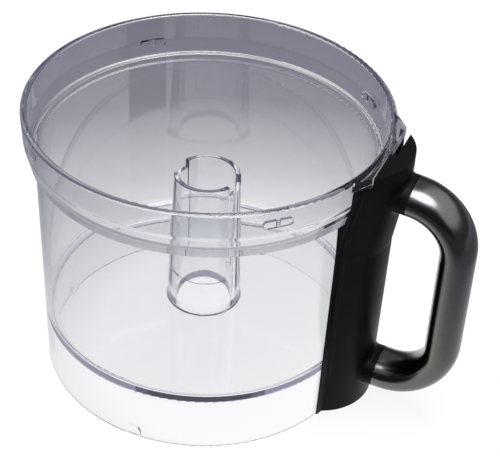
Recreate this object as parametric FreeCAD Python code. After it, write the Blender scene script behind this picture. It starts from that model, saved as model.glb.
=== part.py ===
"""Work bowl of a food processor: clear bowl, hollow handle column, grip and lid interlock rod.

Frame: millimetres, +Z up along the bowl's axis, origin on that axis in the plane the bowl stands on,
+X from the axis out through the handle.
"""
import FreeCAD, Part
import math
import os
from FreeCAD import Vector

# ---------------------------------------------------------------- driving dimensions
# Bowl body and collar
rim_radius = 110.0            # outside of the collar at the rim
collar_wall = 4.0
collar_draft = 0.9            # radius the collar's outside loses from the rim down to its bevel
collar_bevel = 3.4            # radius the collar loses over the bevel round its foot
collar_bevel_drop = 17.6      # rim down to the top of that bevel
collar_bevel_round = 10.0     # soft start of the bevel
collar_foot_wall = 2.9        # wall of the bevel at the lid ledge
collar_depth = 31.6           # rim down to the collar's lower edge
collar_step = 3.0             # collar's lower edge stands out from the body
collar_step_fillet = 1.2      # both corners of the collar's lower edge
bowl_height = 181.8
lid_seat_depth = 26.0         # rim down to the lid ledge inside the collar
body_taper = 2.3              # radius the body loses from the collar down
body_wall = 2.3
floor_height = 36.4           # underside of the floor
floor_thickness = 3.0
rim_round = 1.6
ledge_round = 1.2
floor_fillet = 5.0
skirt_fillet = 1.5            # inside corner under the floor
edge_round = 0.8              # skirt's lower edge and the sharp corners inside

# Chimney round the drive
chimney_height = 131.8        # top above the standing plane
chimney_wall = 3.2            # at the top
chimney_taper = 3.0           # radius the chimney gains down to the floor
chimney_fillet = 1.5
chimney_round = 0.6
drive_bore_radius = 18.4      # lower bore, fits the base's drive column
drive_bore_step = 1.3         # radius the bore loses above the drive column
drive_bore_height = 62.0      # where the lower bore ends
notch_angle = 48.0            # width of each notch in the chimney's top, degrees
notch_depth = 6.0
key_channel_depth = 0.9       # depth of the channel in the bore under each notch

# Bayonet lugs
lug_count = 4
lid_lug_length = 17.2
lid_lug_height = 4.6
lid_lug_rise = 2.4            # how far it stands out of the collar's inner wall
lid_lug_high_drop = 11.0      # rim down to the middle of the lugs on the -Y side
lid_lug_low_drop = 17.6       # and on the +Y side, so that the lid fits only one way round
lid_lug_turn = 45.0           # first lid lug's angle from the handle
detent_radius = 1.3           # groove in the middle of each lid lug
base_lug_width = 9.0
base_lug_height = 6.6
base_lug_rise = 1.8

# Rim pad in front of the handle
pad_half_width = 29.2
pad_root_spread = 9.1         # each side's run from the pad's face out to the rim
pad_rise = 1.2                # pad face beyond the rim's outside
pad_thickness = 6.0

# Handle column
column_half_width = 30.8      # housing, at its shoulders
frame_margin = 4.2            # backplate beyond each shoulder, over the body
frame_head_margin = 6.3       # and over the collar
frame_rise = 1.2              # backplate's outer edges beyond the bowl's wall
shoulder_rise = 1.2           # shoulders beyond the bowl's wall
column_depth = 15.7           # front of the column beyond the body
column_head_depth = 15.2      # front of the column's head beyond the rim
flare_drop = 9.8              # rim down to where the slopes out to the head end
shoulder_flare_length = 44.0
front_flare_length = 52.0
column_wall = 2.3
column_foot_gap = 0.6         # column's lower end above the standing plane
fit_gap = 0.25                # between the column's pieces and the bowl
seat_gap = 0.1                # between pieces of the handle that only locate each other
skin = 2.2                    # backplate over the body
collar_skin = 1.6             # backplate over the collar

# Top plate and the slot for the lid's tab
top_plate_drop = 0.8          # top face below the rim
top_plate_thickness = 3.0
top_plate_skirt = 4.0
top_plate_skirt_wall = 1.5
tab_slot_width = 4.3
tab_slot_depth = 15.0
tab_slot_start = -0.5         # closed end of the slot, across the handle
slot_wall = 1.4

# Grip
grip_section_in = 21.0        # section across the handle's plane, seen from the side
grip_section_wide = 31.0
grip_wall = 2.4
grip_stand = 33.9             # grip's centre line beyond the column's head
grip_top_drop = 24.4          # rim down to the upper arm's centre line at its seam
grip_top_fall = 3.0           # how much each arm falls from its seam to the upright's line
grip_foot_level = 23.7        # lower arm's centre line at its seam
grip_foot_fall = 1.5
grip_bend_radius = 32.3
upper_stub_length = 3.0       # column's head to the grip's upper seam
lower_stub_length = 5.6       # column to the grip's lower seam
grip_split = 5.6              # shells meet this far from the centre line, on the finger side
stub_fillet = 3.0
stub_end_wall = 3.4

# Interlock rod
rod_radius = 2.2
rod_stand = 5.9               # rod's axis beyond the body's top
rod_offset = 6.5              # rod's axis from the handle's middle plane
rod_travel = 6.0
rod_tip_recess = 1.5          # tip above the standing plane when the lid is off
rod_head_width = 11.6
rod_head_height = 18.0
rod_head_drop = 5.0           # head's top below the top plate's face
rod_head_thickness = 2.8
rod_blade_width = 4.4
rod_blade_thickness = 1.5
rod_blade_gap = 0.3           # blade to the backplate's collar skin
rod_arm_gap = 4.2             # arm's top under the collar's lower edge
rod_arm_height = 5.4
rod_ramp = 5.0                # slope the lid's tab slides down
running_clearance = 0.06
moving_gap = 0.3

# Rod guides, spring and clip
guide_wall = 1.6
guide_height = 6.0
lower_guide_level = 52.0
upper_guide_spare = 10.6      # left between the pressed arm and the upper guide
spring_wire = 0.7
spring_coil_radius = 3.05     # centre of the wire from the rod's axis
spring_turns = 7
spring_length = 26.0
clip_thickness = 2.0
clip_width = 1.8              # ring's wall round the rod's groove
clip_groove_depth = 0.6

# Fasteners
bowl_screw_count = 3
bowl_screw_start = 44.0       # lowest screw's height
bowl_screw_end_drop = 18.2    # highest screw below the collar's lower edge
bowl_screw_offset = -6.4      # screws' axes from the handle's middle plane
bowl_screw_radius = 1.5
bowl_screw_head_radius = 3.2
bowl_screw_head_height = 1.8
bowl_screw_length = 8.0
bowl_boss_wall = 2.1          # round the screw's hole
bowl_boss_rise = 4.0
bowl_boss_skin = 1.4          # clear plastic left between the screw hole and the inside
washer_thickness = 0.8
washer_rim = 0.8              # washer beyond the head
screw_hole_clearance = 0.2
thread_clearance = 0.03
thread_hole_spare = 1.0       # hole beyond the screw's end
housing_screw_radius = 1.5
housing_screw_head_radius = 2.8
housing_screw_head_height = 1.6
housing_screw_length = 14.0
post_wall = 1.5               # round the housing screw's hole
foot_post_stand = 5.2         # posts' axes beyond the skirt's foot
foot_post_offset = 15.5
head_post_stand = 5.6         # post's axis beyond the rim
head_post_offset = -12.0
post_height = 16.0
lug_plate = 2.4               # housing's screw lugs
head_lug_drop = 9.4           # head lug's top below the top plate's face
foot_thickness = 2.4
bolt_radius = 2.5
bolt_head_radius = 4.2
bolt_head_height = 3.0
bolt_washer_rim = 1.0
bolt_length = 16.0            # under the washer
insert_wall = 1.3
insert_length = 9.0
insert_start = 2.6            # insert's face behind the grip's end
grip_boss_wall = 1.6
grip_boss_end = 1.0           # boss beyond the insert
shell_screw_count = 3
shell_screw_spacing = 33.0
shell_screw_radius = 1.4
shell_screw_head_radius = 2.8
shell_screw_head_height = 1.8
shell_screw_head_sink = 0.4   # head's face below the grip's surface
shell_screw_length = 12.0
shell_post_wall = 1.8         # round the shell screw's hole

# Screw heads, as shares of the head's radius or height
head_round = 0.4
recess_length = 1.32
recess_width = 0.28
recess_depth = 0.5

cut_over = 1.0                # how far a cutting solid runs past the face it cuts

# ---------------------------------------------------------------- sizes that follow
collar_bottom = bowl_height - collar_depth
bevel_top = bowl_height - collar_bevel_drop
bevel_top_radius = rim_radius - collar_draft
collar_bottom_radius = bevel_top_radius - collar_bevel
collar_inner_radius = rim_radius - collar_wall
body_top_radius = collar_bottom_radius - collar_step
foot_radius = body_top_radius - body_taper
ledge_height = bowl_height - lid_seat_depth
floor_top = floor_height + floor_thickness
bore_radius = drive_bore_radius - drive_bore_step
chimney_top_radius = bore_radius + chimney_wall
chimney_foot_radius = chimney_top_radius + chimney_taper
pad_root_half_width = pad_half_width + pad_root_spread
pad_face = rim_radius + pad_rise
pad_bottom = bowl_height - pad_thickness
top_face = bowl_height - top_plate_drop
housing_top = top_face - top_plate_thickness
frame_top = pad_bottom - fit_gap
head_start = pad_face + fit_gap
slot_outer = pad_face + tab_slot_width
slot_floor = top_face - tab_slot_depth
column_foot_front = foot_radius + column_depth
head_front = rim_radius + column_head_depth
column_back = foot_radius - column_half_width         # well inside the bowl
flare_end = bowl_height - flare_drop
shoulder_flare_start = flare_end - shoulder_flare_length
front_flare_start = flare_end - front_flare_length
grip_half_in = grip_section_in / 2
grip_half_wide = grip_section_wide / 2
grip_reach = head_front + grip_stand
grip_top_level = bowl_height - grip_top_drop
upper_seam_reach = head_front + upper_stub_length
lower_seam_reach = column_foot_front + lower_stub_length
rod_reach = body_top_radius + rod_stand
rod_arm_level = collar_bottom - rod_arm_gap - rod_arm_height
upper_guide_level = rod_arm_level - rod_travel - upper_guide_spare - guide_height
bowl_boss_radius = bowl_screw_radius + thread_clearance + bowl_boss_wall
post_radius = housing_screw_radius + thread_clearance + post_wall
shell_post_radius = shell_screw_radius + thread_clearance + shell_post_wall
foot_post_reach = foot_radius + foot_post_stand
head_post_reach = rim_radius + head_post_stand
AXIS_X = Vector(1, 0, 0)
AXIS_Y = Vector(0, 1, 0)
AXIS_Z = Vector(0, 0, 1)


# ---------------------------------------------------------------- helpers
def body_radius(z):
    """Outside radius of the tapered body."""
    return foot_radius + (body_top_radius - foot_radius) * z / collar_bottom


def cylinder(radius, length, start, axis=AXIS_Z):
    return Part.makeCylinder(radius, length, start, axis)


def block(low, high):
    size = high - low
    return Part.makeBox(size.x, size.y, size.z, low)


def rounded_path(corners):
    """Closed wire in the XZ half-plane from (x, z, radius) corners, each rounded by its radius."""
    points = [Vector(x, 0, z) for x, z, _ in corners]
    count = len(points)
    ends = []
    for i, corner in enumerate(points):
        radius = corners[i][2]
        back = (points[i - 1] - corner).normalize()
        ahead = (points[(i + 1) % count] - corner).normalize()
        if radius == 0:
            ends.append((corner, None, corner))
            continue
        half = math.acos(max(-1.0, min(1.0, back.dot(ahead)))) / 2
        reach = radius / math.tan(half)
        towards = (back + ahead).normalize()
        middle = corner + towards * (radius / math.sin(half) - radius)
        ends.append((corner + back * reach, middle, corner + ahead * reach))
    edges = []
    for i, (start, middle, end) in enumerate(ends):
        if middle is not None:
            edges.append(Part.Arc(start, middle, end).toShape())
        following = ends[(i + 1) % count][0]
        if end.distanceToPoint(following) > 1e-6:
            edges.append(Part.LineSegment(end, following).toShape())
    return Part.Wire(edges)


def revolved(corners):
    return Part.Face(rounded_path(corners)).revolve(Vector(0, 0, 0), AXIS_Z, 360)


def turned(shape, angle):
    copy = shape.copy()
    copy.rotate(Vector(0, 0, 0), AXIS_Z, angle)
    return copy


def joined(first, others):
    return first.fuse(list(others)).removeSplitter()


def blend(z, start, end):
    """0 below start, 1 above end, straight between."""
    return max(0.0, min(1.0, (z - start) / (end - start)))


def whole(shape):
    """The single solid that a boolean result holds."""
    return max(shape.Solids, key=lambda solid: solid.Volume)


# ---------------------------------------------------------------- bowl
def bowl_outline():
    """Corners of the bowl's half section, anticlockwise from the skirt's outer lower edge."""
    bevel_slope = collar_bevel / (bevel_top - collar_bottom)
    ledge_outer = collar_bottom_radius + bevel_slope * (ledge_height - collar_bottom) - collar_foot_wall
    inner_top = body_radius(ledge_height) - body_wall
    inner_foot = body_radius(floor_top) - body_wall
    skirt_top = body_radius(floor_height) - body_wall
    return [
        (foot_radius, 0, edge_round),
        (body_top_radius, collar_bottom, collar_step_fillet),
        (collar_bottom_radius, collar_bottom, collar_step_fillet),
        (bevel_top_radius, bevel_top, collar_bevel_round),
        (rim_radius, bowl_height, rim_round),
        (collar_inner_radius, bowl_height, rim_round),
        (collar_inner_radius, bevel_top, collar_bevel_round),
        (ledge_outer, ledge_height, edge_round),
        (inner_top, ledge_height, ledge_round),
        (inner_foot, floor_top, floor_fillet),
        (chimney_foot_radius, floor_top, chimney_fillet),
        (chimney_top_radius, chimney_height, chimney_round),
        (bore_radius, chimney_height, chimney_round),
        (bore_radius, drive_bore_height, 0),
        (drive_bore_radius, drive_bore_height, 0),
        (drive_bore_radius, floor_height, edge_round),
        (skirt_top, floor_height, skirt_fillet),
        (foot_radius - body_wall, 0, edge_round),
    ]


def sector(radius, angle, bottom, top):
    """Wedge of the given angle about +X."""
    wedge = Part.makeCylinder(radius, top - bottom, Vector(0, 0, bottom), AXIS_Z, angle)
    return turned(wedge, -angle / 2)


def chimney_cuts():
    """Two notches through the chimney's top and the key channels under them."""
    cuts = []
    for angle in (0, 180):
        notch = sector(chimney_foot_radius, notch_angle, chimney_height - notch_depth, chimney_height)
        channel = sector(bore_radius + key_channel_depth, notch_angle,
                         drive_bore_height, chimney_height)
        cuts += [turned(notch, angle), turned(channel, angle)]
    return cuts


def upright_slab(outline_wire, low, high):
    """Solid from a wire in the YZ plane, extruded along X from low to high."""
    face = Part.Face(outline_wire)
    face.translate(Vector(low, 0, 0))
    return face.extrude(Vector(high - low, 0, 0))


def lid_lug(drop):
    """Rounded bar on the collar's inner wall, with a detent groove across its middle."""
    r = lid_lug_height / 2
    half = lid_lug_length / 2 - r
    z = bowl_height - drop
    upper = Part.LineSegment(Vector(0, -half, z + r), Vector(0, half, z + r)).toShape()
    lower = Part.LineSegment(Vector(0, half, z - r), Vector(0, -half, z - r)).toShape()
    right = Part.Arc(Vector(0, half, z + r), Vector(0, half + r, z), Vector(0, half, z - r)).toShape()
    left = Part.Arc(Vector(0, -half, z - r), Vector(0, -half - r, z),
                    Vector(0, -half, z + r)).toShape()
    face = collar_inner_radius - lid_lug_rise
    outline = Part.Wire([upper, right, lower, left])
    bar = upright_slab(outline, face, collar_inner_radius + collar_wall / 2)
    groove = cylinder(detent_radius, lid_lug_height, Vector(face, 0, z - r))
    return bar.cut(groove)


def base_lug():
    """D-shaped tab on the skirt's inner wall, flush with its lower edge."""
    r = base_lug_width / 2
    straight = base_lug_height - r
    low = Vector(0, -r, 0)
    edges = [
        Part.LineSegment(low, Vector(0, r, 0)).toShape(),
        Part.LineSegment(Vector(0, r, 0), Vector(0, r, straight)).toShape(),
        Part.Arc(Vector(0, r, straight), Vector(0, 0, base_lug_height), Vector(0, -r, straight)).toShape(),
        Part.LineSegment(Vector(0, -r, straight), low).toShape(),
    ]
    inner = foot_radius - body_wall
    return upright_slab(Part.Wire(edges), inner - base_lug_rise, inner + body_wall / 2)


def rim_pad():
    """Straight-faced pad that widens the rim in front of the handle."""
    root = math.sqrt(rim_radius ** 2 - pad_root_half_width ** 2)
    inside = root - collar_wall
    outline = [(inside, -pad_root_half_width), (root, -pad_root_half_width),
               (pad_face, -pad_half_width), (pad_face, pad_half_width),
               (root, pad_root_half_width), (inside, pad_root_half_width)]
    corners = [Vector(x, y, pad_bottom) for x, y in outline]
    pad = Part.Face(Part.makePolygon(corners + corners[:1])).extrude(Vector(0, 0, pad_thickness))
    hollow = cylinder(rim_radius - collar_wall / 2, pad_thickness, Vector(0, 0, pad_bottom))
    return pad.cut(hollow)


def boss_face():
    """Where the bosses end, and so where the backplate is clamped."""
    return body_top_radius + bowl_boss_rise


def bowl_screw_levels():
    step = (collar_bottom - bowl_screw_end_drop - bowl_screw_start) / (bowl_screw_count - 1)
    return [bowl_screw_start + i * step for i in range(bowl_screw_count)]


def bowl_bosses():
    bosses = []
    for z in bowl_screw_levels():
        start = body_radius(z) - body_wall / 2
        bosses.append(cylinder(bowl_boss_radius, boss_face() - start,
                               Vector(start, bowl_screw_offset, z), AXIS_X))
    return bosses


def boss_holes():
    holes = []
    for z in bowl_screw_levels():
        start = body_radius(z) - body_wall + bowl_boss_skin
        holes.append(cylinder(bowl_screw_radius + thread_clearance, boss_face() - start,
                              Vector(start, bowl_screw_offset, z), AXIS_X))
    return holes


def make_bowl():
    shell = revolved(bowl_outline())
    step = 360 / lug_count
    drops = [lid_lug_low_drop, lid_lug_low_drop, lid_lug_high_drop, lid_lug_high_drop]
    lugs = [turned(lid_lug(drop), lid_lug_turn + i * step) for i, drop in enumerate(drops)]
    lugs += [turned(base_lug(), i * step) for i in range(lug_count)]
    bowl = joined(shell, lugs + [rim_pad()] + bowl_bosses())
    return whole(bowl.cut(chimney_cuts() + boss_holes()))


# ---------------------------------------------------------------- handle column
def wall_reach(z, half_width):
    """Reach of the bowl's wall at the column's sides, eased from the body out to the rim."""
    low = math.sqrt(body_radius(z) ** 2 - half_width ** 2)
    high = math.sqrt(rim_radius ** 2 - half_width ** 2)
    return low + (high - low) * blend(z, shoulder_flare_start, flare_end)


def shoulder_reach(z):
    return wall_reach(z, column_half_width) + shoulder_rise


def front_reach(z):
    low = body_radius(z) + column_depth
    return low + (head_front - low) * blend(z, front_flare_start, flare_end)


def frame_edge(z):
    """Reach and half width of the backplate's outer edges."""
    widening = (frame_head_margin - frame_margin) * blend(z, shoulder_flare_start, flare_end)
    half = column_half_width + frame_margin + widening
    return wall_reach(z, half) + frame_rise, half


def column_levels(bottom, top):
    """Heights from bottom to top where the column's slopes change."""
    changes = sorted((shoulder_flare_start, front_flare_start, flare_end))
    return [bottom] + [z for z in changes if bottom < z < top] + [top]


def column_section(z, inset, with_frame):
    """Section of the column: a shallow arc between the shoulders, open towards the bowl.

    inset moves the arc and shoulders inwards; with_frame adds the sloping strips of the backplate."""
    half = column_half_width - inset
    shoulder = shoulder_reach(z)
    front = front_reach(z) - inset
    points = [Vector(shoulder, half, z)]
    if with_frame:
        reach, edge = frame_edge(z)
        points += [Vector(reach, edge, z), Vector(column_back, edge, z),
                   Vector(column_back, -edge, z), Vector(reach, -edge, z)]
    else:
        points += [Vector(column_back, half, z), Vector(column_back, -half, z)]
    points.append(Vector(shoulder, -half, z))
    edges = [Part.LineSegment(a, b).toShape() for a, b in zip(points, points[1:])]
    edges.append(Part.Arc(points[-1], Vector(front, 0, z), points[0]).toShape())
    return Part.Wire(edges)


def column_solid(bottom, top, inset=0.0, with_frame=False):
    """Column between two heights, in straight stages between the heights where its slope changes."""
    levels = column_levels(bottom, top)
    stages = [Part.makeLoft([column_section(a, inset, with_frame), column_section(b, inset, with_frame)],
                            True, True) for a, b in zip(levels, levels[1:])]
    return joined(stages[0], stages[1:]) if len(stages) > 1 else stages[0]


def strip_side(bottom, top):
    """Everything on the bowl's side of the column's shoulders."""
    def section(z):
        inside = column_back - cut_over
        outside = shoulder_reach(z)
        corners = [Vector(inside, -rim_radius, z), Vector(outside, -rim_radius, z),
                   Vector(outside, rim_radius, z), Vector(inside, rim_radius, z)]
        return Part.makePolygon(corners + corners[:1])

    levels = column_levels(bottom, top)
    stages = [Part.makeLoft([section(a), section(b)], True, True) for a, b in zip(levels, levels[1:])]
    return joined(stages[0], stages[1:])


def bowl_cover(body_offset, collar_offset, top):
    """Solid of revolution that stands off the bowl's outside by the given offsets."""
    step = collar_bottom - collar_offset
    inner_fillet = max(0.0, collar_step_fillet - body_offset)
    return revolved([
        (0, -cut_over, 0),
        (foot_radius + body_offset, -cut_over, 0),
        (body_radius(step) + body_offset, step, inner_fillet),
        (collar_bottom_radius + collar_offset, step, collar_step_fillet),
        (bevel_top_radius + collar_offset, bevel_top, 0),
        (rim_radius + collar_offset, top, 0),
        (0, top, 0),
    ])


def guide_eye(level):
    """Ring round the rod, joined to the backplate's skin."""
    radius = rod_radius + running_clearance + guide_wall
    ring = cylinder(radius, guide_height, Vector(rod_reach, rod_offset, level))
    root = body_radius(level)
    web = block(Vector(root, rod_offset - radius, level),
                Vector(rod_reach, rod_offset + radius, level + guide_height))
    return ring.fuse(web)


def foot_posts():
    posts = []
    for y in (-foot_post_offset, foot_post_offset):
        start = Vector(foot_post_reach, y, column_foot_gap + foot_thickness + lug_plate)
        root = block(Vector(foot_radius - body_wall, y - post_radius, start.z),
                     Vector(foot_post_reach, y + post_radius, start.z + post_height))
        posts += [cylinder(post_radius, post_height, start), root]
    return posts


def head_post_top():
    return top_face - head_lug_drop - lug_plate


def head_post():
    top = head_post_top()
    start = Vector(head_post_reach, head_post_offset, top - post_height)
    root = block(Vector(rim_radius - collar_wall, head_post_offset - post_radius, start.z),
                 Vector(head_post_reach, head_post_offset + post_radius, top))
    return [cylinder(post_radius, post_height, start), root]


def housing_screw_places():
    """Each screw's seat under its head, and its direction."""
    foot = column_foot_gap
    return [
        (Vector(foot_post_reach, -foot_post_offset, foot + housing_screw_head_height), AXIS_Z),
        (Vector(foot_post_reach, foot_post_offset, foot + housing_screw_head_height), AXIS_Z),
        (Vector(head_post_reach, head_post_offset, head_post_top() + lug_plate), AXIS_Z * -1),
    ]


def screw_pads():
    """Raised seats on the backplate round the bowl's bosses."""
    face = boss_face() + skin
    start = body_top_radius
    radius = bowl_boss_radius + fit_gap + skin
    return [cylinder(radius, face - start, Vector(start, bowl_screw_offset, z), AXIS_X)
            for z in bowl_screw_levels()]


def boss_pockets():
    start = foot_radius - body_wall
    pockets = []
    for z in bowl_screw_levels():
        pockets.append(cylinder(bowl_boss_radius + fit_gap, boss_face() - start,
                                Vector(start, bowl_screw_offset, z), AXIS_X))
        pockets.append(cylinder(bowl_screw_radius + screw_hole_clearance, 2 * skin,
                                Vector(boss_face(), bowl_screw_offset, z), AXIS_X))
    return pockets


def make_backplate():
    bottom = column_foot_gap
    envelope = column_solid(bottom, frame_top, with_frame=True)
    layer = bowl_cover(fit_gap + skin, fit_gap + collar_skin, bowl_height)
    plate = envelope.common(strip_side(bottom, frame_top).fuse(layer))
    slot_clear = block(Vector(foot_radius, tab_slot_start - slot_wall, slot_floor - seat_gap),
                       Vector(head_front, rim_radius, bowl_height))
    inside_column = column_solid(bottom, frame_top, inset=column_wall + seat_gap)
    additions = [guide_eye(lower_guide_level), guide_eye(upper_guide_level)]
    additions += foot_posts() + head_post() + screw_pads()
    additions = [piece.common(inside_column) for piece in additions]
    plate = joined(plate, additions)
    hole_start = lower_guide_level - cut_over
    hole_end = upper_guide_level + guide_height + cut_over
    rod_hole = cylinder(rod_radius + running_clearance, hole_end - hole_start,
                        Vector(rod_reach, rod_offset, hole_start))
    cuts = [bowl_cover(fit_gap, fit_gap, bowl_height), slot_clear, rod_hole] + boss_pockets()
    for seat, direction in housing_screw_places():
        cuts.append(cylinder(housing_screw_radius + thread_clearance,
                             housing_screw_length + thread_hole_spare, seat, direction))
    return whole(plate.cut(cuts))


def make_housing():
    bottom = column_foot_gap
    outside = column_solid(bottom, housing_top)
    behind = strip_side(bottom, housing_top)
    layer = bowl_cover(fit_gap + skin + seat_gap, fit_gap + collar_skin + seat_gap, bowl_height)
    solid = joined(outside, [stub(seam, direction) for seam, direction in grip_seams()])
    solid = with_stub_fillets(solid)
    inside = column_solid(bottom - cut_over, housing_top + cut_over, inset=column_wall)
    hollows = [stub_hollow(seam, direction) for seam, direction in grip_seams()]
    under_pad = block(Vector(0, -rim_radius, frame_top), Vector(head_start, rim_radius, bowl_height))
    slot = block(Vector(pad_face, tab_slot_start, slot_floor), Vector(slot_outer, rim_radius, bowl_height))
    shell = solid.cut([inside] + hollows)
    shell = joined(shell, housing_lugs(inside))
    cuts = [behind, layer, under_pad, slot] + bolt_holes() + lug_holes()
    return whole(shell.cut(cuts))


def grip_ellipse(centre, inset, axis):
    """Grip section at a point, in the plane across axis; the long way lies along Y."""
    half_in = grip_half_in - inset
    half_wide = grip_half_wide - inset
    ellipse = Part.Ellipse(Vector(0, 0, 0), half_wide, half_in)
    wire = Part.Wire([ellipse.toShape()])
    along = axis.normalize()
    across = along.cross(AXIS_Y)
    turn = FreeCAD.Rotation(AXIS_Y, across, along, "XYZ")
    wire.Placement = FreeCAD.Placement(centre, turn)
    return wire


def grip_ends():
    return [Vector(upper_seam_reach, 0, grip_top_level), Vector(lower_seam_reach, 0, grip_foot_level)]


def grip_corners():
    """Where the lines of the arms meet the upright's line."""
    return [Vector(grip_reach, 0, grip_top_level - grip_top_fall),
            Vector(grip_reach, 0, grip_foot_level - grip_foot_fall)]


def grip_seams():
    """Centre of each seam between a stub and the grip, and the way the grip leaves it."""
    seams = []
    for seam, corner in zip(grip_ends(), grip_corners()):
        seams.append((seam, (corner - seam).normalize()))
    return seams


def stub(seam, direction):
    """Elliptical stub from inside the column to the grip's seam."""
    start = seam - direction * (seam.x - body_top_radius)
    return Part.Face(grip_ellipse(start, 0, direction)).extrude(seam - start)


def stub_hollow(seam, direction):
    end = seam - direction * stub_end_wall
    start = end - direction * (seam.x - body_top_radius)
    return Part.Face(grip_ellipse(start, column_wall, direction)).extrude(end - start)


def with_stub_fillets(solid):
    """Rounds the curves where the stubs leave the column."""
    roots = [edge for edge in solid.Edges if any(is_stub_root(edge, seam) for seam, _ in grip_seams())]
    return solid.makeFillet(stub_fillet, roots)


def is_stub_root(edge, seam):
    box = edge.BoundBox
    beside = max(-box.YMin, box.YMax) < grip_half_wide + stub_fillet
    around = box.ZLength > grip_half_in and abs(box.Center.z - seam.z) < grip_half_in
    return beside and around and body_top_radius < box.XMin and box.XMax < seam.x - stub_fillet / 2


def housing_lugs(inside):
    """Inward lugs that the housing screws clamp."""
    wide = 2 * post_radius
    foot = column_foot_gap + foot_thickness
    lugs = []
    for y in (-foot_post_offset, foot_post_offset):
        side = math.copysign(1, y)
        near, far = sorted((y - post_radius * side, side * column_half_width))
        lugs.append(block(Vector(foot_post_reach - wide / 2, near, foot),
                          Vector(column_foot_front, far, foot + lug_plate)))
    top = head_post_top()
    lugs.append(block(Vector(head_post_reach - post_radius, -column_half_width, top),
                      Vector(head_front, head_post_offset + post_radius, top + lug_plate)))
    outline = column_solid(column_foot_gap, housing_top, inset=column_wall / 2)
    return [lug.common(outline) for lug in lugs]


def lug_holes():
    holes = []
    for seat, direction in housing_screw_places():
        start = seat - direction * cut_over
        holes.append(cylinder(housing_screw_radius + screw_hole_clearance,
                              lug_plate + foot_thickness + cut_over, start, direction))
    return holes


def bolt_holes():
    return [cylinder(bolt_radius + screw_hole_clearance, stub_end_wall + 2 * cut_over,
                     seam - direction * (stub_end_wall + cut_over), direction)
            for seam, direction in grip_seams()]


def make_top_plate():
    """D-shaped cap: plate, locating skirt and the walls of the tab slot."""
    plate = column_solid(housing_top, top_face)
    low = housing_top - top_plate_skirt
    skirt = column_solid(low, housing_top, inset=column_wall + seat_gap)
    skirt = skirt.cut(column_solid(low - cut_over, housing_top,
                                   inset=column_wall + seat_gap + top_plate_skirt_wall))
    walls_low = Vector(head_start, tab_slot_start - slot_wall, slot_floor)
    walls = block(walls_low, Vector(slot_outer + slot_wall, column_half_width, housing_top))
    walls = walls.common(column_solid(slot_floor, housing_top, inset=column_wall + seat_gap))
    cap = joined(plate, [skirt, walls])
    behind = block(Vector(0, -rim_radius, 0), Vector(head_start, rim_radius, bowl_height))
    slot = block(Vector(0, tab_slot_start, 0), Vector(slot_outer, rim_radius, bowl_height))
    return whole(cap.cut([behind, slot]))


def make_foot():
    """Cover of the column's lower end."""
    bottom = column_foot_gap
    plate = column_solid(bottom, bottom + foot_thickness, inset=column_wall + seat_gap)
    inner = bowl_cover(fit_gap + skin + seat_gap, fit_gap, bowl_height)
    shoulders = strip_side(bottom, bottom + foot_thickness)
    tip = cylinder(rod_radius + moving_gap, 2 * foot_thickness, Vector(rod_reach, rod_offset, 0))
    cuts = [inner, shoulders, tip]
    for seat, _ in housing_screw_places()[:2]:
        cuts.append(cylinder(housing_screw_radius + screw_hole_clearance, 2 * foot_thickness,
                             Vector(seat.x, seat.y, 0)))
        cuts.append(cylinder(housing_screw_head_radius + screw_hole_clearance, seat.z,
                             Vector(seat.x, seat.y, 0)))
    return whole(plate.cut(cuts))


# ---------------------------------------------------------------- grip
def grip_path():
    """Centre line in the handle's plane: upper bend, upright, lower bend, lower arm."""
    top, foot = grip_ends()
    upper_corner, lower_corner = grip_corners()
    edges = []
    position = top
    for corner, following in ((upper_corner, lower_corner), (lower_corner, foot)):
        back = (position - corner).normalize()
        ahead = (following - corner).normalize()
        half = math.acos(back.dot(ahead)) / 2
        reach = grip_bend_radius / math.tan(half)
        towards = (back + ahead).normalize()
        middle = corner + towards * (grip_bend_radius / math.sin(half) - grip_bend_radius)
        start = corner + back * reach
        end = corner + ahead * reach
        edges.append(Part.LineSegment(position, start).toShape())
        edges.append(Part.Arc(start, middle, end).toShape())
        position = end
    edges.append(Part.LineSegment(position, foot).toShape())
    return Part.Wire(edges)


def swept(section):
    return grip_path().makePipeShell([section], True, False)


def grip_tube(inset):
    seam, direction = grip_seams()[0]
    return swept(grip_ellipse(seam, inset, direction))


def finger_side(depth):
    """Sweep of everything more than depth from the centre line on the finger side."""
    seam, direction = grip_seams()[0]
    inwards = AXIS_Y.cross(direction)
    near = seam + inwards * depth
    far = seam + inwards * (grip_half_in + cut_over)
    side = AXIS_Y * (grip_half_wide + cut_over)
    corners = [near - side, near + side, far + side, far - side]
    return swept(Part.makePolygon(corners + corners[:1]))


def grip_end_bosses(tube):
    """Closed ends with bosses for the inserts."""
    radius = bolt_radius + insert_wall + grip_boss_wall
    length = insert_start + insert_length + grip_boss_end
    bosses = []
    for seam, direction in grip_seams():
        bosses.append(cylinder(radius, length, seam, direction))
        plate = Part.Face(grip_ellipse(seam, grip_wall / 2, direction)).extrude(direction * insert_start)
        bosses.append(plate)
    return [boss.common(tube) for boss in bosses]


def shell_screw_levels():
    """Heights of the shell screws, spread about the middle of the grip's upright."""
    upper_corner, lower_corner = grip_corners()
    middle = (upper_corner.z + lower_corner.z) / 2
    first = middle - shell_screw_spacing * (shell_screw_count - 1) / 2
    return [first + i * shell_screw_spacing for i in range(shell_screw_count)]


def shell_posts(tube):
    posts = [cylinder(shell_post_radius, grip_split + grip_half_in,
                      Vector(grip_reach - grip_split, 0, z), AXIS_X)
             for z in shell_screw_levels()]
    return [post.common(tube) for post in posts]


def grip_fastener_holes():
    holes = []
    for seam, direction in grip_seams():
        holes.append(cylinder(bolt_radius + screw_hole_clearance, bolt_length, seam, direction))
        holes.append(cylinder(bolt_radius + insert_wall, insert_length, seam + direction * insert_start,
                              direction))
    return holes


def shell_screw_seat():
    """Underside of the shell screws' heads, from the bowl's axis."""
    return grip_reach - grip_half_in + shell_screw_head_height + shell_screw_head_sink


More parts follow.
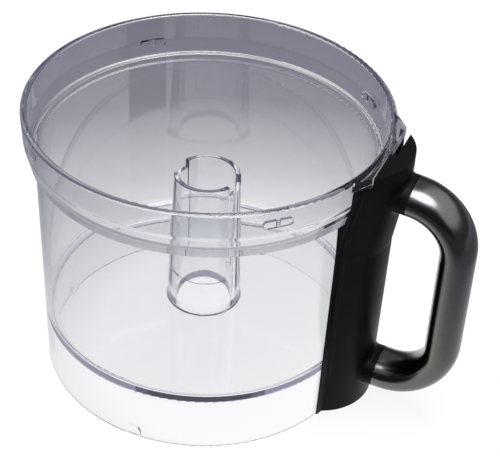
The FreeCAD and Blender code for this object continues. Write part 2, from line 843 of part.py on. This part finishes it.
def make_grip_outer():
    tube = grip_tube(0)
    wall = tube.cut(grip_tube(grip_wall))
    shell = wall.cut(finger_side(grip_split))
    inner_tube = grip_tube(grip_wall / 2)
    trim = finger_side(grip_split)
    additions = [piece.cut(trim) for piece in grip_end_bosses(inner_tube)] + shell_posts(inner_tube)
    shell = joined(shell, additions)
    screw_holes = [cylinder(shell_screw_radius + thread_clearance, shell_screw_length + thread_hole_spare,
                            Vector(shell_screw_seat(), 0, z), AXIS_X)
                   for z in shell_screw_levels()]
    return whole(shell.cut(grip_fastener_holes() + screw_holes))


def make_grip_inner():
    tube = grip_tube(0)
    side = finger_side(grip_split + seat_gap)
    shell = tube.cut(grip_tube(grip_wall)).common(side)
    solid_side = grip_tube(grip_wall / 2).common(side)
    seats = [cylinder(shell_screw_head_radius + grip_boss_wall, grip_half_in - grip_split - seat_gap,
                      Vector(grip_reach - grip_half_in, 0, z), AXIS_X).common(solid_side)
             for z in shell_screw_levels()]
    shell = joined(shell, seats)
    seat = shell_screw_seat()
    cuts = []
    for z in shell_screw_levels():
        cuts.append(cylinder(shell_screw_radius + screw_hole_clearance, grip_half_in,
                             Vector(seat - cut_over, 0, z), AXIS_X))
        cuts.append(cylinder(shell_screw_head_radius + screw_hole_clearance, grip_half_in,
                             Vector(seat, 0, z), AXIS_X * -1))
    return whole(shell.cut(cuts))


# ---------------------------------------------------------------- fasteners
def screw(seat, direction, radius, length, head_radius, head_height):
    """Pan-head screw: seat is the centre of the head's underside, direction points into the work."""
    head = cylinder(head_radius, head_height, seat - direction * head_height, direction)
    rim = [edge for edge in head.Edges if edge.Curve.TypeId == "Part::GeomCircle"
           and edge.Curve.Center.distanceToPoint(seat - direction * head_height) < 1e-6]
    head = head.makeFillet(head_height * head_round, rim)
    shank = cylinder(radius, length, seat, direction)
    recess = cross_recess(seat - direction * head_height, direction, head_radius, head_height)
    return head.fuse(shank).removeSplitter().cut(recess)


def cross_recess(top, direction, head_radius, head_height):
    """Two crossed slots in the head's face."""
    length = head_radius * recess_length
    slot = head_radius * recess_width
    depth = head_height * recess_depth
    bars = [Part.makeBox(length, slot, depth, Vector(-length / 2, -slot / 2, 0)),
            Part.makeBox(slot, length, depth, Vector(-slot / 2, -length / 2, 0))]
    cross = bars[0].fuse(bars[1]).removeSplitter()
    cross.Placement = FreeCAD.Placement(top, FreeCAD.Rotation(AXIS_Z, direction))
    return cross


def washer(seat, direction, hole_radius, radius, thickness):
    ring = cylinder(radius, thickness, seat, direction)
    return ring.cut(cylinder(hole_radius, thickness, seat, direction))


def bowl_screw_seat():
    return boss_face() + skin


def make_bowl_screws():
    seat = bowl_screw_seat() + washer_thickness
    return Part.makeCompound([screw(Vector(seat, bowl_screw_offset, z), AXIS_X * -1, bowl_screw_radius,
                                    bowl_screw_length, bowl_screw_head_radius, bowl_screw_head_height)
                              for z in bowl_screw_levels()])


def make_bowl_washers():
    return Part.makeCompound([washer(Vector(bowl_screw_seat(), bowl_screw_offset, z), AXIS_X,
                                     bowl_screw_radius + screw_hole_clearance,
                                     bowl_screw_head_radius + washer_rim, washer_thickness)
                              for z in bowl_screw_levels()])


def make_housing_screws():
    return Part.makeCompound([screw(seat, direction, housing_screw_radius, housing_screw_length,
                                    housing_screw_head_radius, housing_screw_head_height)
                              for seat, direction in housing_screw_places()])


def bolt_seat(seam, direction):
    """Where the bolt's washer lies on the stub's end wall."""
    return seam - direction * stub_end_wall


def make_grip_bolts():
    bolts = []
    for seam, direction in grip_seams():
        seat = bolt_seat(seam, direction) - direction * washer_thickness
        bolts.append(screw(seat, direction, bolt_radius, bolt_length, bolt_head_radius, bolt_head_height))
    return Part.makeCompound(bolts)


def make_bolt_washers():
    return Part.makeCompound([washer(bolt_seat(seam, direction), direction * -1,
                                     bolt_radius + screw_hole_clearance,
                                     bolt_head_radius + bolt_washer_rim, washer_thickness)
                              for seam, direction in grip_seams()])


def make_grip_inserts():
    return Part.makeCompound([washer(seam + direction * insert_start, direction,
                                     bolt_radius + thread_clearance, bolt_radius + insert_wall, insert_length)
                              for seam, direction in grip_seams()])


def make_shell_screws():
    return Part.makeCompound([screw(Vector(shell_screw_seat(), 0, z), AXIS_X, shell_screw_radius,
                                    shell_screw_length, shell_screw_head_radius, shell_screw_head_height)
                              for z in shell_screw_levels()])


# ---------------------------------------------------------------- interlock
def clip_level():
    """Underside of the clip, where the spring ends."""
    return lower_guide_level + guide_height + spring_length


def make_rod():
    """Round rod with an arm that steps out round the collar to the head under the tab slot."""
    inner = rim_radius + fit_gap + collar_skin + rod_blade_gap
    tip = Vector(rod_reach, rod_offset, rod_tip_recess)
    shaft = cylinder(rod_radius, rod_arm_level + rod_arm_height / 2 - tip.z, tip)
    arm = block(Vector(rod_reach, rod_offset - rod_radius, rod_arm_level),
                Vector(inner + rod_blade_thickness, rod_offset + rod_radius, rod_arm_level + rod_arm_height))
    head_top = top_face - rod_head_drop
    blade = block(Vector(inner, rod_offset - rod_blade_width / 2, rod_arm_level),
                  Vector(inner + rod_blade_thickness, rod_offset + rod_blade_width / 2,
                         head_top - rod_head_height / 2))
    half = rod_head_width / 2
    outline = [Vector(inner, rod_offset - half, head_top - rod_head_height),
               Vector(inner, rod_offset + half, head_top - rod_head_height),
               Vector(inner, rod_offset + half, head_top - rod_ramp),
               Vector(inner, rod_offset + half - rod_ramp, head_top),
               Vector(inner, rod_offset - half, head_top)]
    head = Part.Face(Part.makePolygon(outline + outline[:1])).extrude(Vector(rod_head_thickness, 0, 0))
    rod = joined(shaft, [arm, blade, head])
    groove = washer(Vector(rod_reach, rod_offset, clip_level()), AXIS_Z, rod_radius - clip_groove_depth,
                    2 * rod_radius, clip_thickness)
    return whole(rod.cut(groove))


def make_clip():
    """Open ring snapped into the rod's groove."""
    centre = Vector(rod_reach, rod_offset, clip_level())
    mouth = rod_radius - clip_groove_depth
    outside = mouth + clip_width
    ring = washer(centre, AXIS_Z, mouth, outside, clip_thickness)
    opening = block(Vector(rod_reach, rod_offset - mouth, centre.z),
                    Vector(rod_reach + outside, rod_offset + mouth, centre.z + clip_thickness))
    return whole(ring.cut(opening))


def make_spring():
    """Coil spring between the lower guide and the clip."""
    rise = spring_length - spring_wire
    pitch = rise / spring_turns
    start = Vector(rod_reach, rod_offset, lower_guide_level + guide_height + spring_wire / 2)
    helix = Part.makeHelix(pitch, rise, spring_coil_radius)
    wire_end = Vector(spring_coil_radius, 0, 0)
    wire_direction = Vector(0, 2 * math.pi * spring_coil_radius, pitch)
    quarters = [
        Part.makeCircle(spring_wire / 2, wire_end, wire_direction, quarter * 90, quarter * 90 + 90)
        for quarter in range(4)
    ]
    spring = Part.Wire(helix.Edges).makePipeShell([Part.Wire(quarters)], True, True)
    spring.translate(start)
    return spring


# ---------------------------------------------------------------- write
def main():
    makers = {
        "bowl": make_bowl,
        "handle_backplate": make_backplate,
        "handle_housing": make_housing,
        "handle_top_plate": make_top_plate,
        "handle_foot": make_foot,
        "grip_outer_shell": make_grip_outer,
        "grip_inner_shell": make_grip_inner,
        "interlock_rod": make_rod,
        "rod_clip": make_clip,
        "rod_spring": make_spring,
        "bowl_screws": make_bowl_screws,
        "bowl_screw_washers": make_bowl_washers,
        "housing_screws": make_housing_screws,
        "grip_bolts": make_grip_bolts,
        "grip_bolt_washers": make_bolt_washers,
        "grip_inserts": make_grip_inserts,
        "grip_shell_screws": make_shell_screws,
    }
    os.makedirs("parts", exist_ok=True)
    for name, make in makers.items():
        shape = make()
        shape.exportStep(f"parts/{name}.step")
        print(name, "solids", len(shape.Solids), "valid", shape.isValid(), "volume", round(shape.Volume, 1))


main()
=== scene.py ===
"""Looks of a food processor's work bowl: clear bowl, black column, gunmetal grip and interlock rod."""

import math

import bmesh
import bpy
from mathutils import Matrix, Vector


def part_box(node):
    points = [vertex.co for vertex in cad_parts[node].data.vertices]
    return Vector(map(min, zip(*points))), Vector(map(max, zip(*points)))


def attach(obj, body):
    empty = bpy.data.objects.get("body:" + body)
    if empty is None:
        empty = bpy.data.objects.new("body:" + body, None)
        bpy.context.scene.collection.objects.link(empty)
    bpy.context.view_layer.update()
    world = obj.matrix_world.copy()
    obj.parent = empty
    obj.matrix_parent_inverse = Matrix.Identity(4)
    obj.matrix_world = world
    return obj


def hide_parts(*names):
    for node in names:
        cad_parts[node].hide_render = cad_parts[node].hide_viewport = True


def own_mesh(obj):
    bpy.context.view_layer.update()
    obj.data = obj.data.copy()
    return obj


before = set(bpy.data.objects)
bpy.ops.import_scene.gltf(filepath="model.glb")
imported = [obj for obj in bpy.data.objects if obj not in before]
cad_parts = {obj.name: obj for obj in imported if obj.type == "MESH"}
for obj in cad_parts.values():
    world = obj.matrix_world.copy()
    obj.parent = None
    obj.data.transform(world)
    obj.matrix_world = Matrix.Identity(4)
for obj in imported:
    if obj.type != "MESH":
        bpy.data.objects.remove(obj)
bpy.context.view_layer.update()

# ------------------------------------------------- view, lamps and surroundings, in metres, degrees and watts
view_target = Vector((0.0257, 0.0101, 0.0896))
view_distance = 0.8747
view_azimuth = 21.5
view_elevation = 37.36
view_roll = -3.3
view_lens = 101.05            # on a 36 mm wide sensor

floor_half = 4.0
softboxes = {                 # place, side length, watts
    "key softbox": ((-0.9, -1.0, 1.5), 1.1, 15.0),
    "fill softbox": ((1.5, -0.9, 1.0), 1.0, 6.0),
    "top softbox": ((0.1, 0.2, 1.7), 1.2, 24.0),
}
softbox_aim = Vector((0, 0, 0.08))

# Clear plastic and metal don't meet the white that the camera sees, but the glow and the sides below.
camera_side = Vector((0.37, -0.93, 0))                # level direction from the bowl to the camera
table_whiteness = 0.87        # share of plain white in the table that the camera sees; the rest is matte

# Brightness of the table by distance from the middle of its glow, in plain round steps
table_glow = ((0.10, 1.0), (0.20, 0.55), (0.30, 0.25), (0.50, 0.20), (1.60, 0.40))
table_glow_blue = 0.06        # blue that its darker parts gain
glow_centre = Vector((0.028, 0.011, 0))
dim_start = 0.28              # towards the camera's side the glow starts to dim at this distance
dim_end = 0.45
dim_share = 0.4               # and keeps this share of itself from there on

# Brightness of the surroundings, by the sine of the height above the horizon. The dark side is all
# round and the others lie over it: the sheen for light from outside the plastic, the band for light
# that has been through it.
dark_side = ((0.0, 0.03), (0.68, 0.05), (0.85, 0.45), (1.0, 0.60))
bright_side = ((0.0, 0.10), (0.30, 0.12), (0.42, 0.95), (1.0, 1.20))
bright_heading = Vector((0.93, 0.37, 0))
back_sheen = ((0.0, 0.06), (0.35, 0.12), (0.50, 0.26), (0.90, 0.28), (1.0, 0.60))
back_band = ((0.0, 0.06), (0.34, 0.10), (0.38, 1.10), (0.45, 1.10), (0.49, 0.08), (1.0, 0.60))
overhead_panel = Vector((0.17, -0.08, 0.98)).normalized()
overhead_glow = (6.8, 6.6, 7.2, 1)
plain_surroundings = (0.62, 0.62, 0.63, 1)            # what diffuse light meets

# Cosines between which the bright side, the sheen, the band and the panel fade in
bright_edge = (0.45, 0.65)
sheen_edge = (0.20, 0.70)
band_edge = (0.80, 0.90)
overhead_edge = (0.93, 0.955)

inner_bounces = 3             # light caught in the clear plastic is let out after so many reflections
deepest_layers = 9            # and light that has crossed so many surfaces goes straight on

# The rod's spring
wire_radius = 0.00035
wire_sides = 12
spring_turns = 7
steps_per_turn = 28


# ---------------------------------------------------------------- node helpers
def add(tree, kind, inputs=None, **settings):
    """Adds a shader node, sets its settings, and sets or links its inputs by name or index."""
    made = tree.nodes.new("ShaderNode" + kind)
    for name, value in settings.items():
        setattr(made, name, value)
    for name, value in (inputs or {}).items():
        if isinstance(value, bpy.types.NodeSocket):
            tree.links.new(value, made.inputs[name])
        else:
            made.inputs[name].default_value = value
    return made


def shader_group(name, inputs, outputs):
    """Empty node group with named float inputs and float or vector outputs, and its two end nodes."""
    tree = bpy.data.node_groups.new(name, "ShaderNodeTree")
    for socket, value in inputs.items():
        made = tree.interface.new_socket(socket, in_out="INPUT", socket_type="NodeSocketFloat")
        made.default_value = value
    for socket, kind in outputs.items():
        tree.interface.new_socket(socket, in_out="OUTPUT", socket_type="NodeSocket" + kind)
    return tree, tree.nodes.new("NodeGroupInput").outputs, tree.nodes.new("NodeGroupOutput").inputs


def math_node(tree, operation, first, second=0.0, third=0.0):
    return add(tree, "Math", {0: first, 1: second, 2: third}, operation=operation).outputs[0]


def remap(tree, value, low, high, new_low=0.0, new_high=1.0):
    """Value's range low to high spread over new_low to new_high, clamped."""
    inputs = {"Value": value, "From Min": low, "From Max": high, "To Min": new_low, "To Max": new_high}
    return add(tree, "MapRange", inputs).outputs["Result"]


def dot(tree, first, second):
    return add(tree, "VectorMath", {0: first, 1: second}, operation="DOT_PRODUCT").outputs["Value"]


def blend_colours(tree, share, first, second):
    return add(tree, "Mix", {0: share, 6: first, 7: second}, data_type="RGBA").outputs[2]


def noise(tree, vector, scale, detail=2.0):
    return add(tree, "TexNoise", {"Vector": vector, "Scale": scale, "Detail": detail}).outputs["Fac"]


# ---------------------------------------------------------------- shared effects
def moulded_grain_group():
    """Fine spark-eroded grain of moulded plastic, and the slow mottle of its gloss."""
    tree, given, out = shader_group("moulded grain", {"Grains per metre": 2600.0, "Mottle per metre": 60.0},
                                    {"Height": "Float", "Mottle": "Float"})
    place = add(tree, "TexCoord").outputs["Object"]
    tree.links.new(noise(tree, place, given["Grains per metre"], 3.0), out["Height"])
    tree.links.new(noise(tree, place, given["Mottle per metre"], 4.0), out["Mottle"])
    return tree


def edge_rub_and_highlight_group():
    """Mask along the edges that hands and cloths rub, broken up by noise. The finishes lighten these edges
    both as wear and as a painted highlight.
    """
    tree, given, out = shader_group("edge rub and highlight", {"Width": 0.0008, "Patches per metre": 120.0},
                                    {"Rub and highlight": "Float"})
    rounded = add(tree, "Bevel", {"Radius": given["Width"]}, samples=4).outputs["Normal"]
    facing = add(tree, "NewGeometry").outputs["Normal"]
    agreement = dot(tree, rounded, facing)
    edge = remap(tree, agreement, 0.999, 0.93)
    place = add(tree, "TexCoord").outputs["Object"]
    patches = remap(tree, noise(tree, place, given["Patches per metre"], 5.0), 0.35, 0.65)
    tree.links.new(math_node(tree, "MULTIPLY", edge, patches), out["Rub and highlight"])
    return tree


def wipe_marks_group():
    """Hair-fine scuffs in two directions, as a dishcloth leaves."""
    tree, given, out = shader_group("wipe marks", {"Marks per metre": 500.0, "Amount": 0.5},
                                    {"Marks": "Float"})
    place = add(tree, "TexCoord").outputs["Object"]
    total = None
    for turn in ((0.4, 0.9, 0.2), (1.3, -0.5, 1.1)):
        stretched = {"Vector": place, "Rotation": turn, "Scale": (1.0, 0.04, 1.0)}
        turned = add(tree, "Mapping", stretched).outputs[0]
        strand = remap(tree, noise(tree, turned, given["Marks per metre"], 1.0), 0.62, 0.74)
        total = strand if total is None else math_node(tree, "MAXIMUM", total, strand)
    tree.links.new(math_node(tree, "MULTIPLY", total, given["Amount"]), out["Marks"])
    return tree


moulded_grain = moulded_grain_group()
edge_rub_and_highlight = edge_rub_and_highlight_group()
wipe_marks = wipe_marks_group()


def use(tree, group, **inputs):
    """Places a shared effect in a material, with its own values."""
    made = tree.nodes.new("ShaderNodeGroup")
    made.node_tree = group
    for name, value in inputs.items():
        made.inputs[name.replace("_", " ")].default_value = value
    return made.outputs


def new_material(name):
    """Material with a Principled shader, and its node tree."""
    material = bpy.data.materials.new(name)
    material.use_nodes = True
    tree = material.node_tree
    return material, tree, tree.nodes["Principled BSDF"]


# ---------------------------------------------------------------- finishes
def clear_plastic():
    """Polycarbonate with a faint blue-grey cast. Lamps shine through it, and caught light is let out."""
    material, tree, shader = new_material("clear bowl plastic")
    shader.inputs["Base Color"].default_value = (0.955, 0.96, 0.972, 1)
    shader.inputs["Transmission Weight"].default_value = 1.0
    shader.inputs["IOR"].default_value = 1.585
    marks = use(tree, wipe_marks, Marks_per_metre=420.0, Amount=1.0)["Marks"]
    tree.links.new(remap(tree, marks, 0.0, 1.0, 0.0, 0.10), shader.inputs["Roughness"])
    path = add(tree, "LightPath").outputs
    caught = math_node(tree, "GREATER_THAN", path["Glossy Depth"], inner_bounces - 0.5)
    far_in = math_node(tree, "GREATER_THAN", path["Ray Depth"], deepest_layers - 0.5)
    tint = blend_colours(tree, caught, (0.96, 0.96, 0.98, 1), (0.60, 0.60, 0.66, 1))
    let_out = add(tree, "BsdfTransparent", {"Color": tint})
    straight = math_node(tree, "MAXIMUM", caught, far_in)
    solid = add(tree, "MixShader", {0: straight, 1: shader.outputs[0], 2: let_out.outputs[0]})
    through = add(tree, "BsdfTransparent", {"Color": (0.90, 0.91, 0.93, 1)})
    both = add(tree, "MixShader", {0: path["Is Shadow Ray"], 1: solid.outputs[0], 2: through.outputs[0]})
    tree.links.new(both.outputs[0], tree.nodes["Material Output"].inputs["Surface"])
    return material


def column_plastic():
    """Satin black plastic of the handle column."""
    material, tree, shader = new_material("column black plastic")
    grain = use(tree, moulded_grain, Grains_per_metre=2200.0, Mottle_per_metre=45.0)
    rub_and_highlight = use(tree, edge_rub_and_highlight, Width=0.0009)["Rub and highlight"]
    black = blend_colours(tree, grain["Mottle"], (0.0024, 0.0024, 0.0030, 1), (0.0042, 0.0042, 0.0050, 1))
    # Edges lightened both as rubbed wear and as a painted highlight along them
    worn_and_highlighted = blend_colours(tree, rub_and_highlight, black, (0.010, 0.010, 0.012, 1))
    tree.links.new(worn_and_highlighted, shader.inputs["Base Color"])
    shader.inputs["Specular IOR Level"].default_value = 0.08
    gloss = remap(tree, grain["Mottle"], 0.3, 0.7, 0.36, 0.43)
    tree.links.new(math_node(tree, "MULTIPLY_ADD", rub_and_highlight, -0.08, gloss), shader.inputs["Roughness"])
    bump = add(tree, "Bump", {"Strength": 0.12, "Distance": 0.00008, "Height": grain["Height"]})
    tree.links.new(bump.outputs[0], shader.inputs["Normal"])
    return material


def grip_metal():
    """Gunmetal finish of the grip: fine flake under a satin coat."""
    material, tree, shader = new_material("grip gunmetal")
    place = add(tree, "TexCoord").outputs["Object"]
    flake = add(tree, "TexVoronoi", {"Vector": place, "Scale": 3800.0}).outputs["Color"]
    sparkle = add(tree, "SeparateColor", {0: flake}).outputs[0]
    metal = blend_colours(tree, sparkle, (0.140, 0.137, 0.129, 1), (0.200, 0.196, 0.186, 1))
    rub_and_highlight = use(tree, edge_rub_and_highlight, Width=0.0007)["Rub and highlight"]
    # Edges lightened both as rubbed wear and as a painted highlight along them
    worn_and_highlighted = blend_colours(tree, rub_and_highlight, metal, (0.26, 0.255, 0.245, 1))
    tree.links.new(worn_and_highlighted, shader.inputs["Base Color"])
    shader.inputs["Metallic"].default_value = 1.0
    grain = use(tree, moulded_grain, Grains_per_metre=3200.0, Mottle_per_metre=35.0)
    tree.links.new(remap(tree, grain["Mottle"], 0.3, 0.7, 0.17, 0.21), shader.inputs["Roughness"])
    bump = add(tree, "Bump", {"Strength": 0.06, "Distance": 0.00005, "Height": grain["Height"]})
    tree.links.new(bump.outputs[0], shader.inputs["Normal"])
    return material


def rod_plastic():
    """Slippery black acetal of the rod, a little polished along fine marks."""
    material, tree, shader = new_material("rod black acetal")
    grain = use(tree, moulded_grain, Grains_per_metre=1500.0, Mottle_per_metre=150.0)
    black = blend_colours(tree, grain["Mottle"], (0.008, 0.008, 0.009, 1), (0.014, 0.014, 0.015, 1))
    tree.links.new(black, shader.inputs["Base Color"])
    marks = use(tree, wipe_marks, Marks_per_metre=700.0, Amount=1.0)["Marks"]
    tree.links.new(remap(tree, marks, 0.0, 1.0, 0.26, 0.40), shader.inputs["Roughness"])
    return material


def bare_metal(name, dark, light, low_gloss, high_gloss):
    """Plated or drawn metal with fine marks."""
    material, tree, shader = new_material(name)
    marks = use(tree, wipe_marks, Marks_per_metre=1800.0, Amount=1.0)["Marks"]
    grain = use(tree, moulded_grain, Grains_per_metre=4000.0, Mottle_per_metre=300.0)
    tone = blend_colours(tree, grain["Mottle"], (*dark, 1), (*light, 1))
    tree.links.new(tone, shader.inputs["Base Color"])
    shader.inputs["Metallic"].default_value = 1.0
    tree.links.new(remap(tree, marks, 0.0, 1.0, low_gloss, high_gloss), shader.inputs["Roughness"])
    return material


bowl_clear = clear_plastic()
column_black = column_plastic()
grip_gunmetal = grip_metal()
rod_black = rod_plastic()
spring_wire = bare_metal("spring wire", (0.42, 0.41, 0.40), (0.55, 0.54, 0.53), 0.22, 0.36)
zinc_plate = bare_metal("zinc plated screw", (0.52, 0.53, 0.55), (0.66, 0.66, 0.66), 0.25, 0.42)
insert_brass = bare_metal("insert brass", (0.62, 0.45, 0.20), (0.74, 0.56, 0.27), 0.25, 0.40)

node_finish = {
    "bowl": bowl_clear,
    "handle_backplate": column_black,
    "handle_housing": column_black,
    "handle_top_plate": column_black,
    "handle_foot": column_black,
    "grip_outer_shell": grip_gunmetal,
    "grip_inner_shell": grip_gunmetal,
    "interlock_rod": rod_black,
    "rod_clip": spring_wire,
    "rod_spring": spring_wire,
    "bowl_screws": zinc_plate,
    "bowl_screw_washers": zinc_plate,
    "housing_screws": zinc_plate,
    "grip_bolts": zinc_plate,
    "grip_bolt_washers": zinc_plate,
    "grip_inserts": insert_brass,
    "grip_shell_screws": zinc_plate,
}
for name, finish in node_finish.items():
    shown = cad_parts[name]
    if not shown.material_slots:
        shown.data.materials.append(finish)
    for index in range(len(shown.material_slots)):
        shown.material_slots[index].material = finish


# ---------------------------------------------------------------- the rod's spring
def coil_spring():
    """Coil spring as a mesh, made to the box of the rod's spring part, which it replaces."""
    low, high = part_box("rod_spring")
    middle = (low + high) / 2
    radius = (high.y - low.y) / 2 - wire_radius
    rise = high.z - low.z - 2 * wire_radius
    steps = spring_turns * steps_per_turn
    slope = rise / (spring_turns * 2 * math.pi)
    mesh = bmesh.new()
    rings = []
    for step in range(steps + 1):
        turn = 2 * math.pi * step / steps_per_turn
        outward = Vector((math.cos(turn), math.sin(turn), 0))
        along = Vector((-radius * math.sin(turn), radius * math.cos(turn), slope)).normalized()
        across = outward.cross(along)
        height = low.z + wire_radius + rise * step / steps
        centre = Vector((middle.x, middle.y, height)) + outward * radius
        rings.append([mesh.verts.new(centre + wire_radius * (outward * math.cos(a) + across * math.sin(a)))
                      for a in (2 * math.pi * side / wire_sides for side in range(wire_sides))])
    for first, second in zip(rings, rings[1:]):
        for side in range(wire_sides):
            after = (side + 1) % wire_sides
            mesh.faces.new((first[side], first[after], second[after], second[side])).smooth = True
    mesh.faces.new(rings[0])
    mesh.faces.new(rings[-1])
    bmesh.ops.recalc_face_normals(mesh, faces=mesh.faces)
    data = bpy.data.meshes.new("rod_coil_spring")
    mesh.to_mesh(data)
    mesh.free()
    data.materials.append(spring_wire)
    spring = bpy.data.objects.new("rod_coil_spring", data)
    bpy.context.scene.collection.objects.link(spring)
    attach(spring, "bowl_unit")
    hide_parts("rod_spring")
    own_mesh(spring)


coil_spring()


# ---------------------------------------------------------------- table, surroundings and lamps
def radial_glow(tree):
    """Brightness that clear plastic and metal meet on the table."""
    place = add(tree, "NewGeometry").outputs["Position"]
    reach = add(tree, "VectorMath", {0: place, 1: glow_centre}, operation="DISTANCE").outputs["Value"]
    furthest = table_glow[-1][0]
    ramp = add(tree, "ValToRGB", {0: math_node(tree, "DIVIDE", reach, furthest)})
    points = ramp.color_ramp.elements
    while len(points) < len(table_glow):
        points.new(1.0)
    for point, (distance, glow) in zip(points, table_glow):
        point.position = distance / furthest
        point.color = (glow, glow, glow + table_glow_blue * (1 - glow), 1)
    forward = dot(tree, place, camera_side)
    dimming = remap(tree, forward, dim_start, dim_end, 1.0, dim_share)
    dimmed = {0: ramp.outputs["Color"], "Scale": dimming}
    return add(tree, "VectorMath", dimmed, operation="SCALE").outputs[0]


def make_table():
    mesh = bpy.data.meshes.new("table")
    corners = [(-floor_half, -floor_half, 0), (floor_half, -floor_half, 0),
               (floor_half, floor_half, 0), (-floor_half, floor_half, 0)]
    mesh.from_pydata(corners, [], [(0, 1, 2, 3)])
    table = bpy.data.objects.new("table", mesh)
    bpy.context.scene.collection.objects.link(table)
    material, tree, shader = new_material("white table")
    tree.nodes.remove(shader)
    matte = add(tree, "BsdfDiffuse", {"Color": (0.9, 0.9, 0.9, 1)})
    white = add(tree, "Emission", {"Color": (1, 1, 1, 1)})
    seen = add(tree, "MixShader", {0: table_whiteness, 1: matte.outputs[0], 2: white.outputs[0]})
    glow = add(tree, "Emission", {"Color": radial_glow(tree)})
    path = add(tree, "LightPath").outputs
    mirrored = math_node(tree, "MAXIMUM", path["Is Glossy Ray"], path["Is Transmission Ray"])
    rest = add(tree, "MixShader", {0: mirrored, 1: matte.outputs[0], 2: glow.outputs[0]})
    final = add(tree, "MixShader", {0: path["Is Camera Ray"], 1: rest.outputs[0], 2: seen.outputs[0]})
    tree.links.new(final.outputs[0], tree.nodes["Material Output"].inputs["Surface"])
    mesh.materials.append(material)


def brightness_ramp(tree, value, steps, blue):
    """Grey that follows the value from step to step, a little bluer than plain grey."""
    ramp = add(tree, "ValToRGB", {0: value})
    points = ramp.color_ramp.elements
    while len(points) < len(steps):
        points.new(1.0)
    for point, (position, grey) in zip(points, steps):
        point.position = position
        point.color = (grey, grey, grey * (1 + blue), 1)
    return ramp.outputs["Color"]


def make_world():
    """White for the camera, plain grey for diffuse light, and the sides for clear plastic and metal."""
    world = bpy.data.worlds.new("studio")
    bpy.context.scene.world = world
    world.use_nodes = True
    tree = world.node_tree
    tree.nodes.clear()
    direction = add(tree, "TexCoord").outputs["Generated"]
    height = add(tree, "SeparateXYZ", {0: direction}).outputs["Z"]
    level = add(tree, "VectorMath", {0: direction, 1: (1, 1, 0)}, operation="MULTIPLY").outputs[0]
    heading = add(tree, "VectorMath", {0: level}, operation="NORMALIZE").outputs[0]
    path = add(tree, "LightPath").outputs
    outside = math_node(tree, "LESS_THAN", path["Transmission Depth"], 0.5)
    inside = math_node(tree, "GREATER_THAN", path["Transmission Depth"], 0.5)
    around = brightness_ramp(tree, height, dark_side, 0.2)
    behind = dot(tree, heading, -camera_side)
    for met_by, edge, steps in ((inside, band_edge, back_band), (outside, sheen_edge, back_sheen)):
        share = math_node(tree, "MULTIPLY", remap(tree, behind, *edge), met_by)
        around = blend_colours(tree, share, around, brightness_ramp(tree, height, steps, 0.05))
    brightward = dot(tree, heading, bright_heading)
    around = blend_colours(tree, remap(tree, brightward, *bright_edge), around,
                           brightness_ramp(tree, height, bright_side, 0.05))
    upward = dot(tree, direction, overhead_panel)
    panel = math_node(tree, "MULTIPLY", remap(tree, upward, *overhead_edge), outside)
    around = blend_colours(tree, panel, around, overhead_glow)
    plain = add(tree, "Background", {"Color": plain_surroundings})
    mirrored = add(tree, "Background", {"Color": around})
    white = add(tree, "Background", {"Color": (1, 1, 1, 1)})
    reflecting = math_node(tree, "MAXIMUM", path["Is Glossy Ray"], path["Is Transmission Ray"])
    rest = add(tree, "MixShader", {0: reflecting, 1: plain.outputs[0], 2: mirrored.outputs[0]})
    final = add(tree, "MixShader", {0: path["Is Camera Ray"], 1: rest.outputs[0], 2: white.outputs[0]})
    output = add(tree, "OutputWorld")
    tree.links.new(final.outputs[0], output.inputs["Surface"])


def make_softboxes():
    """Lamps that light the surfaces directly and aren't mirrored or seen through the plastic."""
    for name, (place, size, watts) in softboxes.items():
        lamp = bpy.data.lights.new(name, "AREA")
        lamp.size = size
        lamp.energy = watts
        stand = bpy.data.objects.new(name, lamp)
        stand.location = place
        stand.rotation_euler = (softbox_aim - Vector(place)).to_track_quat("-Z", "Y").to_euler()
        stand.visible_glossy = stand.visible_transmission = False
        bpy.context.scene.collection.objects.link(stand)


def make_camera():
    azimuth, elevation, roll = (math.radians(a) for a in (view_azimuth, view_elevation, view_roll))
    back = Vector((math.sin(azimuth) * math.cos(elevation), -math.cos(azimuth) * math.cos(elevation),
                   math.sin(elevation)))
    camera = bpy.data.objects.new("camera", bpy.data.cameras.new("camera"))
    camera.data.lens = view_lens
    camera.data.sensor_width = 36.0
    camera.data.clip_start = 0.01
    camera.location = view_target + back * view_distance
    camera.rotation_euler = back.to_track_quat("Z", "Y").to_euler()
    camera.rotation_euler.rotate_axis("Z", -roll)
    bpy.context.scene.collection.objects.link(camera)
    bpy.context.scene.camera = camera


make_table()
make_world()
make_softboxes()
make_camera()
bpy.context.scene.view_settings.view_transform = "Standard"
